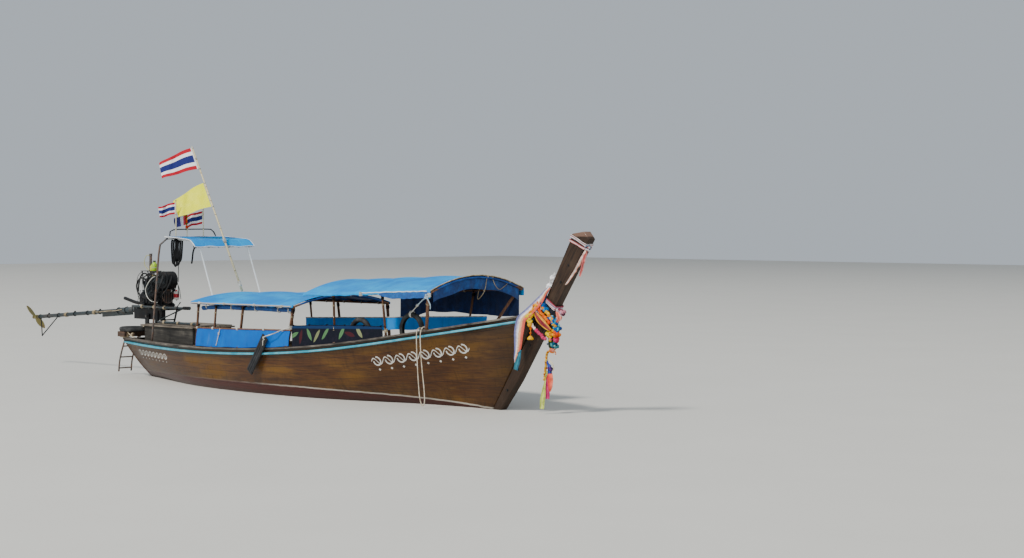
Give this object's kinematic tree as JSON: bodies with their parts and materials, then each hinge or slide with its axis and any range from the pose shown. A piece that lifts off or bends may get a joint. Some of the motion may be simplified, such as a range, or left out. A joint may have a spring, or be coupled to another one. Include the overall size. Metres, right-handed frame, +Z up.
{
  "type": "longtail boat",
  "caption": "Wooden longtail boat afloat, with a tall raked stem, cloth awnings and an open engine on a swivel that drives a long tail shaft and propeller.",
  "frame": {"origin": "on the centreline amidships at the waterline", "axes": "+X forward to the bow, +Y to port, +Z up"},
  "size_m": [15.0528, 2.3069, 4.4677],
  "materials": {
    "varnished_hull": "satin",
    "stem_wood": "satin",
    "dark_wood": "matte",
    "bare_wood": "matte",
    "weathered_wood": "matte",
    "post_wood": "matte",
    "turquoise_paint": "satin",
    "blue_tarpaulin": "satin",
    "black_steel": "satin",
    "rusty_steel": "matte",
    "engine_iron": "satin",
    "dull_brass": "satin",
    "navy_cloth": "matte",
    "white_paint": "satin",
    "bamboo": "satin",
    "striped_cloth": "matte",
    "yellow_cloth": "matte",
    "old_tyre": "matte",
    "black_board": "matte",
    "rope_fibre": "matte",
    "ribbon_cloth": "satin"
  },
  "bodies": {
    "hull": {"hull_shell": "varnished_hull", "transom": "varnished_hull", "keel": "stem_wood", "stem_post": "stem_wood", "ribs_and_stringers": "bare_wood", "cap_rail_starboard": "weathered_wood", "cap_rail_port": "weathered_wood", "rub_rail_starboard": "turquoise_paint", "rub_rail_port": "turquoise_paint", "floor_boards": "weathered_wood", "aft_deck": "weathered_wood", "bench_1": "weathered_wood", "bench_2": "weathered_wood", "bench_3": "weathered_wood", "bench_4": "weathered_wood", "foredeck": "weathered_wood", "stern_box": "dark_wood", "stern_box_top": "weathered_wood", "stern_beam": "dark_wood", "swivel_socket": "black_steel", "boarding_ladder": "rusty_steel", "rear_awning_frame": "post_wood", "fore_awning_frame": "post_wood", "rear_awning": "blue_tarpaulin", "fore_awning": "blue_tarpaulin", "side_dodger": "blue_tarpaulin", "rear_curtain_roll": "navy_cloth", "fore_curtain": "navy_cloth", "port_curtain": "navy_cloth", "port_backrest": "blue_tarpaulin", "rail_cloth": "navy_cloth", "shelter_post": "rusty_steel", "shelter_front": "white_paint", "shelter_roof": "blue_tarpaulin", "roof_rail": "black_steel", "flag_pole": "bamboo", "striped_flag": "striped_cloth", "yellow_flag": "yellow_cloth", "small_flag_1": "striped_cloth", "small_flag_2": "striped_cloth", "tyre_fender_fore": "old_tyre", "tyre_fender_middle": "old_tyre", "tyre_fender_stern": "old_tyre", "fender_board": "black_board", "bow_rope": "rope_fibre", "stem_band": "ribbon_cloth", "stem_sash": "ribbon_cloth", "stem_garland": "ribbon_cloth", "side_ribbon": "ribbon_cloth", "front_ribbon": "ribbon_cloth"},
    "swivel": {"swivel_yoke": "black_steel"},
    "power_unit": {"engine_bed": "black_steel", "tiller": "rusty_steel", "engine_block": "engine_iron", "air_cleaner": "black_steel", "exhaust_stack": "rusty_steel", "outlet_pipe": "black_steel", "tail_tube": "black_steel", "skeg_guard": "black_steel"},
    "screw": {"propeller": "dull_brass"}
  },
  "joints": [
    {"name": "engine_swivel", "type": "hinge", "parent": "hull", "child": "swivel", "pos_m": [-4.8, 0, 0.9], "axis": [0, 0, 1], "range_deg": [-35, 35]},
    {"name": "tail_tilt", "type": "hinge", "parent": "swivel", "child": "power_unit", "pos_m": [-4.8, 0, 1.06], "axis": [0, 1, 0], "range_deg": [-18, 0]},
    {"name": "propeller_spin", "type": "hinge", "parent": "power_unit", "child": "screw", "pos_m": [-8.84, 0, 0.9], "axis": [-0.9972, 0, -0.0751], "continuous": true}
  ]
}
